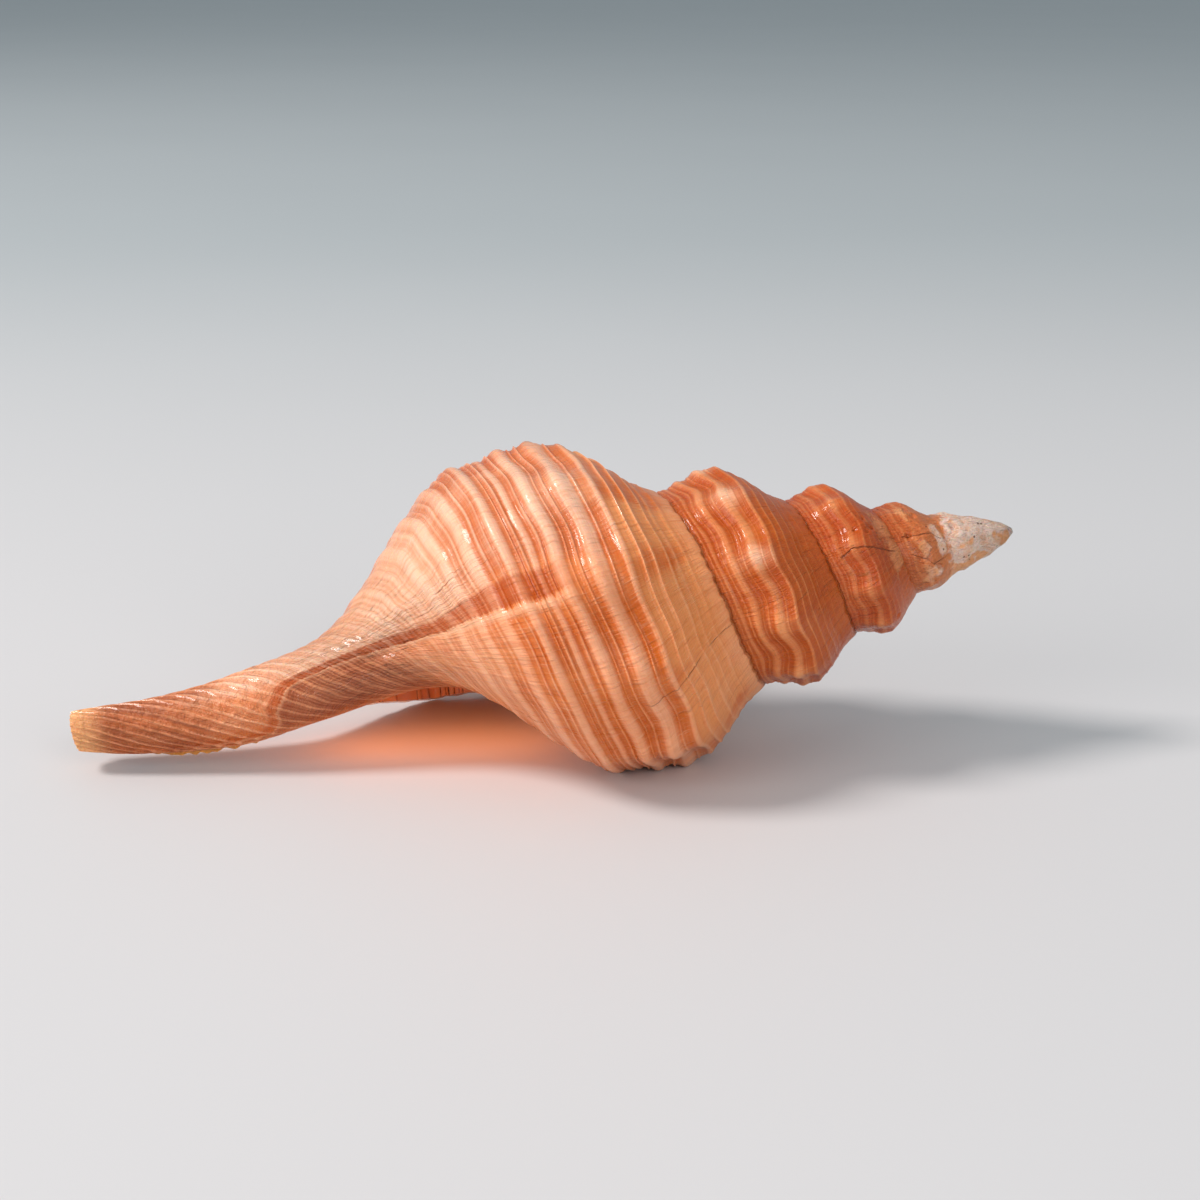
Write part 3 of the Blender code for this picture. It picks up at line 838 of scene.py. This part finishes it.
def paint(mesh):
    """Masks of the finish, worked out corner by corner from the age and place on the outline."""
    corners = len(mesh.loops)
    growth = np.zeros(corners * 2, np.float32)
    mesh.uv_layers["growth"].data.foreach_get("uv", growth)
    turns = growth[0::2].astype(float)
    q = growth[1::2].astype(float) * 10 * MM
    hollow = np.zeros(len(mesh.vertices), np.float32)
    mesh.attributes["hollow"].data.foreach_get("value", hollow)
    vertex = np.zeros(corners, np.int32)
    mesh.loops.foreach_get("vertex_index", vertex)
    outside = hollow[vertex] < 0.4
    along = q * LONGER**-turns
    age = growth_age(q, turns)
    crack_side, crack_near = cracks(q, turns)
    # Painted highlight: the top of the body whorl, and the knob tops on top of the penultimate whorl.
    painted_highlight = during(turns, *PAINTED_HIGHLIGHT_AGE) * change(q, 50 * MM, 6 * MM)
    lit_knob_tops = (knobs(q, turns) / KNOB_HEIGHT) ** 2 * during(turns, *LIT_KNOBS_AGE)
    # The rest scar's furrow is painted dark: partly stain, partly painted shade.
    rest = change(q, *SCAR_STAIN_AND_SHADE_STARTS) * (1 - 0.5 * change(q, *SCAR_STAIN_AND_SHADE_FADES)) * (turns < 0.99)
    base = change(q, *BASE_STARTS) * (1 - 0.4 * change(age, *BASE_DULLS)) * during(turns, *BASE_AGE)
    dusk_start, dusk_end = DUSK_AND_SHADE_AGE
    # The canal's lower side: dusky colour, partly painted shade.
    dusk_and_shade = change(age, *dusk_start) * (1 - change(turns, *dusk_end)) * change(q, *DUSK_AND_SHADE_PLACE)
    bleached = np.maximum(blots(q, turns, CHALK_PATCHES), 1 - change(along, *CHALK_FADES))
    pitted = np.maximum(blots(q, turns, PITTED), 0.45 * change(turns, *PITTED_AGE))
    masks = {
        "pale": paleness(q, turns),
        "rest_scar": rest,
        "dusk_and_shade": dusk_and_shade,
        "crack_side": crack_side,
        "crack_near": crack_near * outside,
        "seam": np.where(outside & (turns < WHOLE_TURNS - 1.05), seam(q, turns), SEAM_REACH),
        "worn": (1 - change(along, *WORN_FADES)) * outside,
        "olive": blots(q, turns, OLIVE_STAINS) * outside,
        "chalk": bleached * outside,
        "pitted": pitted * outside,
        "canal": change(along, *CANAL_SKIN) * outside,
        "canal_top": change(along, *CANAL_TOP) * outside,
        "flange": flange(along, turns) / FLANGE_HEIGHT * outside,
        "spire": change(turns, *SPIRE_AGE) * outside,
        "painted_highlight": np.maximum(painted_highlight, lit_knob_tops) * outside,
        "old": change(turns, *OLD_AGE) * outside,
        "ramp": 1 - change(q, *RAMP_ENDS),
        "base": base,
        "canal_end": change(along, *CANAL_RIM),
    }
    for name, values in masks.items():
        layer = mesh.attributes.new(name, "FLOAT", "CORNER")
        layer.data.foreach_set("value", np.ascontiguousarray(values, np.float32))
    growth[0::2] = age
    growth[1::2] = (q - meander(q, turns)) / (10 * MM)
    mesh.uv_layers["growth"].data.foreach_set("uv", growth)


class Finish:
    """Short names for the nodes that a material is made of."""

    def __init__(self, name):
        self.material = bpy.data.materials.new(name)
        self.material.use_nodes = True
        self.tree = self.material.node_tree
        self.surface = self.tree.nodes["Principled BSDF"]

    def put(self, socket, value):
        if isinstance(value, bpy.types.NodeSocket):
            self.tree.links.new(value, socket)
        elif isinstance(value, tuple) and len(value) == 3 and socket.type == "RGBA":
            socket.default_value = (*value, 1.0)
        else:
            socket.default_value = value

    def math(self, operation, *values):
        node = self.tree.nodes.new("ShaderNodeMath")
        node.operation = operation
        for socket, value in zip(node.inputs, values):
            self.put(socket, value)
        return node.outputs[0]

    def swing(self, value, size):
        """A noise value spread evenly about nothing, by size in all."""
        return self.scaled(value, size, -0.5 * size)

    def product(self, *values):
        total = values[0]
        for value in values[1:]:
            total = self.math("MULTIPLY", total, value)
        return total

    def sum(self, *values):
        total = values[0]
        for value in values[1:]:
            total = self.math("ADD", total, value)
        return total

    def without(self, value):
        """1 where the value is 0, and 0 where it is 1."""
        return self.math("SUBTRACT", 1.0, value)

    def scaled(self, value, by, least):
        """The value times by, plus the least."""
        return self.math("MULTIPLY_ADD", value, by, least)

    def mask(self, name):
        node = self.tree.nodes.new("ShaderNodeAttribute")
        node.attribute_name = name
        return node.outputs["Fac"]

    def step(self, value, low, high):
        """0 below low, 1 above high, smooth between."""
        node = self.tree.nodes.new("ShaderNodeMapRange")
        node.interpolation_type = "SMOOTHSTEP"
        self.put(node.inputs["Value"], value)
        node.inputs["From Min"].default_value = low
        node.inputs["From Max"].default_value = high
        return node.outputs["Result"]

    def mix(self, share, first, second):
        node = self.tree.nodes.new("ShaderNodeMix")
        node.data_type = "RGBA"
        self.put(node.inputs[0], share)
        self.put(node.inputs[6], first)
        self.put(node.inputs[7], second)
        return node.outputs[2]

    def growth(self, across, along):
        """The growth map, stretched: so many steps to a turn, and to 10 mm along the lip."""
        uv = self.tree.nodes.new("ShaderNodeUVMap")
        uv.uv_map = "growth"
        node = self.tree.nodes.new("ShaderNodeMapping")
        self.put(node.inputs["Vector"], uv.outputs["UV"])
        node.inputs["Scale"].default_value = (across, along, 1.0)
        return node.outputs["Vector"]

    def age_and_place(self):
        """Age in turns along the growth lines, and place on the lip's outline in 10 mm."""
        node = self.tree.nodes.new("ShaderNodeSeparateXYZ")
        self.put(node.inputs[0], self.growth(1.0, 1.0))
        return node.outputs[0], node.outputs[1]

    def in_space(self):
        """The place in the piece's own space."""
        return self.tree.nodes.new("ShaderNodeTexCoord").outputs["Object"]

    def noise(self, where, scale, detail=2.0, rough=0.5, distort=0.0):
        """Soft noise on the growth map, or in space where there is no map."""
        node = self.tree.nodes.new("ShaderNodeTexNoise")
        self.put(node.inputs["Vector"], where or self.in_space())
        node.inputs["Scale"].default_value = scale
        node.inputs["Detail"].default_value = detail
        node.inputs["Roughness"].default_value = rough
        node.inputs["Distortion"].default_value = distort
        return node.outputs["Fac"]

    def spots(self, scale):
        """Distance from the nearest of many scattered points."""
        node = self.tree.nodes.new("ShaderNodeTexVoronoi")
        self.put(node.inputs["Vector"], self.in_space())
        node.inputs["Scale"].default_value = scale
        return node.outputs["Distance"]

    def bump(self, height, distance, below=None):
        node = self.tree.nodes.new("ShaderNodeBump")
        self.put(node.inputs["Height"], height)
        node.inputs["Distance"].default_value = distance
        if below is not None:
            self.put(node.inputs["Normal"], below)
        return node.outputs["Normal"]


def shell_finish():
    """Orange shell: pale cords and threads, growth lines, the rest scar, wear, and a smooth inside."""
    f = Finish("orange_shell")
    fine_lines = f.noise(f.growth(520.0, 3.0), 1.0, 2.0, 0.6)
    growth_lines = f.noise(f.growth(190.0, 1.6), 1.0, 3.0, 0.6, 0.3)
    broad_lines = f.noise(f.growth(60.0, 0.8), 1.0, 3.0, 0.6, 0.4)
    zones = f.noise(f.growth(17.0, 0.5), 1.0, 2.0)
    spiral_lines = f.noise(f.growth(9.0, 34.0), 1.0, 2.0, 0.5)
    blotch = f.noise(None, 190.0, 3.0, 0.55)
    cloud = f.noise(None, 60.0, 2.0)
    grain = f.noise(None, 2600.0, 2.0)
    pitting = f.noise(None, 1100.0, 3.0, 0.65)
    rough_skin = f.noise(None, 700.0, 3.0, 0.6)
    age, place = f.age_and_place()

    spire = f.mask("spire")
    old = f.mask("old")
    ramp = f.mask("ramp")
    base = f.mask("base")
    hollow = f.mask("hollow")
    worn = f.mask("worn")
    canal = f.mask("canal")
    outside = f.without(f.step(hollow, 0.3, 0.9))
    stretched = f.without(f.product(canal, 0.85))

    # Pale bands and threads, broken along the growth lines.
    steps = f.math("LOGARITHM", f.math("DIVIDE", place, FIRST_THREAD / (10 * MM)), THREAD_RATIO)
    from_crest = f.math("PINGPONG", f.sum(steps, f.swing(growth_lines, 0.12)), 0.5)
    thread = f.without(f.step(from_crest, 0.04, 0.24))
    thread = f.product(thread, f.step(place, 7.74, 7.84), f.scaled(blotch, 0.8, 0.25))
    finer = f.math("PINGPONG", f.sum(f.product(steps, 3.0), f.swing(broad_lines, 0.7)), 0.5)
    finer = f.without(f.step(finer, 0.06, 0.34))
    finer = f.product(finer, f.step(place, 7.0, 7.6), stretched, f.product(blotch, 0.8))
    thread = f.math("MAXIMUM", thread, finer)
    pale = f.math("MAXIMUM", f.mask("pale"), thread)
    wobble = f.sum(f.swing(broad_lines, 0.55), f.swing(growth_lines, 0.45), f.swing(blotch, 0.70))
    wobble = f.sum(wobble, f.swing(spiral_lines, 0.80))
    pale = f.sum(pale, wobble, f.product(base, 0.30))
    pale = f.math("SUBTRACT", pale, f.product(spire, 0.20))
    pale = f.product(pale, f.scaled(f.sum(spire, old), -0.28, 1.0))
    pale = f.step(pale, -0.15, 1.20)

    deep = f.mix(cloud, *GROOVES)
    deep = f.mix(f.step(zones, 0.45, 0.70), deep, WARM_ZONES)
    crest = f.mix(blotch, *CORD_TOPS)
    body = f.mix(pale, deep, crest)
    lightened = f.product(base, f.scaled(canal, -0.30, 0.42))
    body = f.mix(lightened, body, PALE_BASE)

    # The ramp is duller, with orange patches between its threads and tan next to the suture.
    patch = f.step(f.sum(zones, f.swing(blotch, 0.5)), 0.42, 0.60)
    ramp_deep = f.mix(patch, *RAMP_GROOVES)
    ramp_crest = f.mix(blotch, *RAMP_CORDS)
    near_seam = f.without(f.step(f.mask("seam"), 0.6, 3.0))
    ramp_body = f.mix(f.math("MAXIMUM", pale, f.product(near_seam, 0.75)), ramp_deep, ramp_crest)
    body = f.mix(f.product(ramp, 0.90), body, ramp_body)

    # Older whorls are a deeper orange, with pale streaks only on the knobs and cords.
    old_deep = f.mix(f.sum(zones, f.swing(blotch, 0.6)), *OLD_GROOVES)
    oldest_deep = f.mix(f.sum(zones, f.swing(blotch, 0.9)), *OLDEST_GROOVES)
    old_crest = f.mix(blotch, *OLD_CORDS)
    old_body = f.mix(pale, f.mix(old, old_deep, oldest_deep), old_crest)
    body = f.mix(f.product(spire, 0.90), body, old_body)

    # Painted highlight: the cords on top of the body whorl, and the knob tops on top of the penultimate
    # whorl, are painted paler where the light falls from above.
    painted_highlight = f.mask("painted_highlight")
    body = f.mix(f.product(painted_highlight, f.scaled(pale, 0.50, 0.08)), body, PAINTED_HIGHLIGHT_CORDS)

    # Growth lines show as thin darker and paler strokes.
    stroke = f.step(growth_lines, 0.52, 0.70)
    body = f.mix(f.product(stroke, outside, stretched, 0.30), body, DARK_STROKES)
    stroke = f.step(fine_lines, 0.55, 0.75)
    young = f.scaled(spire, -0.80, 1.0)
    body = f.mix(f.product(stroke, outside, stretched, young, 0.26), body, PALE_STROKES)

    # The rest scar: a furrow painted dark, partly a stain and partly painted shade in the groove, that
    # ends at a ragged pale edge.
    ragged = f.sum(age, f.swing(broad_lines, 0.010), f.swing(spiral_lines, 0.014))
    furrow_stain_and_shade = f.product(f.step(ragged, 0.474, 0.482), f.without(f.step(ragged, 0.502, 0.506)))
    furrow_stain_and_shade = f.product(furrow_stain_and_shade, f.mask("rest_scar"), f.without(f.product(pale, 0.45)))
    body = f.mix(f.product(furrow_stain_and_shade, f.scaled(blotch, 0.5, 0.65)), body, FURROW_STAIN_AND_SHADE)
    edge = f.product(f.step(ragged, 0.505, 0.508), f.without(f.step(ragged, 0.511, 0.520)))
    body = f.mix(f.product(edge, f.mask("rest_scar"), 0.55), body, FURROW_EDGE)

    # The canal's lower side, painted dark: partly its own dusky colour and partly painted shade. Also
    # its pale end.
    dusky_shade = f.mix(pale, f.mix(zones, *DUSK_AND_SHADE_GROOVES), DUSK_AND_SHADE_THREADS)
    body = f.mix(f.product(f.mask("dusk_and_shade"), 0.90), body, dusky_shade)
    top = f.product(f.mask("canal_top"), f.without(f.mask("dusk_and_shade")))
    rings = f.step(f.sum(f.noise(f.growth(2.0, 7.0), 1.0, 2.0), f.swing(blotch, 0.7)), 0.36, 0.64)
    ringed = f.mix(rings, *CANAL_RINGS)
    ringed = f.mix(f.product(pale, 0.55), ringed, CANAL_THREAD)
    body = f.mix(f.product(top, 0.88), body, ringed)
    body = f.mix(f.product(f.mask("canal_end"), 0.80), body, CANAL_RIM_PALE)
    body = f.mix(f.product(f.mask("flange"), 1.4), body, FLANGE_AMBER)

    # Wear: the oldest whorls are bleached in patches and carry olive-brown dirt, and their pits are
    # painted dark as shade.
    body = f.mix(f.product(worn, 0.75), body, f.mix(blotch, *WORN_TAN))
    bare = f.sum(f.mask("chalk"), f.swing(pitting, 0.7), f.swing(rough_skin, 1.5), f.swing(cloud, 0.4))
    bare = f.step(bare, 0.30, 0.72)
    chalk = f.mix(f.step(worn, 0.3, 0.9), *CHALK)
    whitest = f.product(f.step(pitting, 0.36, 0.58), f.step(worn, 0.4, 0.9))
    chalk = f.mix(whitest, chalk, CHALK_WHITE)
    patches = f.step(f.noise(None, 420.0, 2.0), 0.53, 0.60)
    chalk = f.mix(f.product(patches, worn, 0.80), chalk, CHALK_ORANGE)
    body = f.mix(f.product(bare, f.scaled(worn, 0.45, 0.45)), body, chalk)
    dirt = f.product(f.step(f.sum(broad_lines, f.swing(blotch, 0.5)), 0.52, 0.70), f.mask("olive"), 0.75)
    body = f.mix(dirt, body, OLIVE_DIRT)
    # Small pits, each painted dark as shade.
    holes = f.spots(1250.0)
    holes = f.without(f.step(holes, 0.10, 0.20))
    holes = f.product(holes, f.step(f.sum(f.mask("pitted"), f.swing(blotch, 1.2)), 0.48, 0.62))
    body = f.mix(f.product(holes, 0.85), body, PIT_SHADE)

    # The thin dark line of the suture, and cracks.
    line = f.sum(f.mask("seam"), f.swing(growth_lines, 0.35))
    line = f.without(f.step(line, 0.06, 0.30))
    body = f.mix(f.product(line, outside, f.scaled(spire, -0.30, 0.68)), body, SUTURE_LINE)
    crack = f.math("ABSOLUTE", f.sum(f.mask("crack_side"), f.swing(pitting, 0.0012)))
    crack = f.product(crack, f.scaled(old, -0.62, 1.0))
    crack = f.without(f.step(crack, 0.0001, 0.0009))
    crack = f.product(crack, f.mask("crack_near"), f.math("MAXIMUM", old, f.step(blotch, 0.36, 0.52)))
    body = f.mix(f.product(crack, f.scaled(old, 0.55, 0.38)), body, CRACK_LINE)

    # The lip's rounded edge is plain and pale, and the inside smooth.
    body = f.mix(f.product(f.step(hollow, 0.05, 0.45), 0.85), body, LIP_EDGE)
    nacre = f.mix(cloud, *NACRE)
    body = f.mix(f.step(hollow, 0.45, 0.95), body, nacre)
    f.put(f.surface.inputs["Base Color"], body)

    rough = f.sum(f.scaled(broad_lines, 0.20, 0.20), f.swing(blotch, 0.12))
    rough = f.sum(rough, f.product(bare, 0.30), f.product(ramp, 0.12))
    rough = f.math("SUBTRACT", rough, f.sum(f.product(hollow, 0.12), f.product(painted_highlight, 0.06)))
    f.put(f.surface.inputs["Roughness"], rough)

    # Growth lines stand out most where growth was crowded, just before the rest scar.
    crowded = f.product(f.step(age, 0.40, 0.44), f.without(f.step(age, 0.50, 0.52)))
    crowded = f.product(crowded, f.step(place, 7.0, 7.6))
    normal = f.bump(f.product(fine_lines, outside, stretched), 0.13 * MM)
    normal = f.bump(f.product(growth_lines, outside, stretched, f.sum(0.6, crowded)), 0.34 * MM, normal)
    normal = f.bump(f.product(broad_lines, outside, stretched), 0.34 * MM, normal)
    normal = f.bump(f.product(rough_skin, canal), 0.95 * MM, normal)
    normal = f.bump(f.product(spiral_lines, outside, f.sum(0.6, base)), 0.09 * MM, normal)
    normal = f.bump(f.product(grain, outside), 0.012 * MM, normal)
    normal = f.bump(f.product(pitting, bare, f.step(old, 0.1, 0.9)), 0.30 * MM, normal)
    normal = f.bump(f.product(holes, -1.0), 0.10 * MM, normal)
    normal = f.bump(f.product(f.math("MAXIMUM", crack, line), -1.0), CRACK_DEPTH, normal)
    f.put(f.surface.inputs["Normal"], normal)

    f.surface.inputs["Subsurface Weight"].default_value = 0.25
    f.surface.inputs["Subsurface Radius"].default_value = (1.0, 0.35, 0.15)
    f.surface.inputs["Subsurface Scale"].default_value = 0.8 * MM
    f.surface.inputs["Specular IOR Level"].default_value = 0.22
    f.surface.inputs["Coat Weight"].default_value = 0.26
    f.surface.inputs["Coat Roughness"].default_value = 0.10
    return f.material


def floor_finish():
    """A pale matt table, painted a little darker and cooler with distance as shade where the lamps'
    light falls off.
    """
    f = Finish("pale_table")
    tone = f.noise(None, 6.0, 2.0)
    place = f.tree.nodes.new("ShaderNodeSeparateXYZ")
    f.put(place.inputs[0], f.in_space())
    near = f.mix(tone, *TABLE_NEAR)
    far = f.mix(tone, *TABLE_FAR_SHADED)
    # Further back the table is painted darker and cooler, as shade.
    f.put(f.surface.inputs["Base Color"], f.mix(f.step(place.outputs[1], *TABLE_SHADE_FADE), near, far))
    f.surface.inputs["Roughness"].default_value = 0.55
    return f.material


def build_shell():
    shell = bpy.data.objects.new("conch_shell_visual", conch_mesh())
    bpy.context.scene.collection.objects.link(shell)
    paint(shell.data)
    shell.data.materials.append(shell_finish())
    shell.data.shade_smooth()
    shell.data.set_sharp_from_angle(angle=SHARP_ANGLE)
    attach(shell, "root")
    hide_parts("conch_shell")
    return shell


def build_floor():
    bm = bmesh.new()
    bmesh.ops.create_grid(bm, x_segments=1, y_segments=1, size=20.0)
    mesh = bpy.data.meshes.new("table")
    bm.to_mesh(mesh)
    bm.free()
    floor = bpy.data.objects.new("table", mesh)
    bpy.context.scene.collection.objects.link(floor)
    floor.data.materials.append(floor_finish())


def build_light():
    world = bpy.data.worlds.new("studio")
    world.use_nodes = True
    world.node_tree.nodes["Background"].inputs["Color"].default_value = ROOM
    world.node_tree.nodes["Background"].inputs["Strength"].default_value = 1.0
    bpy.context.scene.world = world
    bpy.context.scene.view_settings.view_transform = "Standard"
    for name, place, size, power, tint in LAMPS:
        lamp = bpy.data.lights.new(name, "AREA")
        lamp.shape = "DISK"
        lamp.size = size
        lamp.energy = power
        lamp.color = tint
        hang(name, lamp, place, Vector(place) - Vector((0, 0, 0.015)))
    # The light that comes through the thin shell, and falls on the table under the canal.
    for name, place, size, power in GLOW:
        lamp = bpy.data.lights.new(name, "AREA")
        lamp.shape = "ELLIPSE"
        lamp.size, lamp.size_y = size
        lamp.energy = power
        lamp.color = GLOW_COLOUR
        hang(name, lamp, place, Vector((0, 0, 1)))


def hang(name, lamp, place, back):
    holder = bpy.data.objects.new(name, lamp)
    holder.location = place
    holder.rotation_mode = "QUATERNION"
    holder.rotation_quaternion = back.to_track_quat("Z", "Y")
    holder.visible_camera = False
    bpy.context.scene.collection.objects.link(holder)


def build_camera():
    lens = bpy.data.cameras.new("camera")
    lens.lens = CAMERA_LENS
    lens.sensor_width = 36.0
    lens.clip_start = 0.01
    lens.clip_end = 100.0
    camera = bpy.data.objects.new("camera", lens)
    back = Vector(
        (
            math.sin(CAMERA_YAW) * math.cos(CAMERA_RISE),
            -math.cos(CAMERA_YAW) * math.cos(CAMERA_RISE),
            math.sin(CAMERA_RISE),
        )
    )
    turn = back.to_track_quat("Z", "Y").to_matrix() @ Matrix.Rotation(CAMERA_ROLL, 3, "Z")
    camera.location = CAMERA_AIM + back * CAMERA_AWAY
    camera.rotation_mode = "QUATERNION"
    camera.rotation_quaternion = turn.to_quaternion()
    bpy.context.scene.collection.objects.link(camera)
    bpy.context.scene.camera = camera


build_shell()
build_floor()
build_light()
build_camera()
bpy.context.view_layer.update()
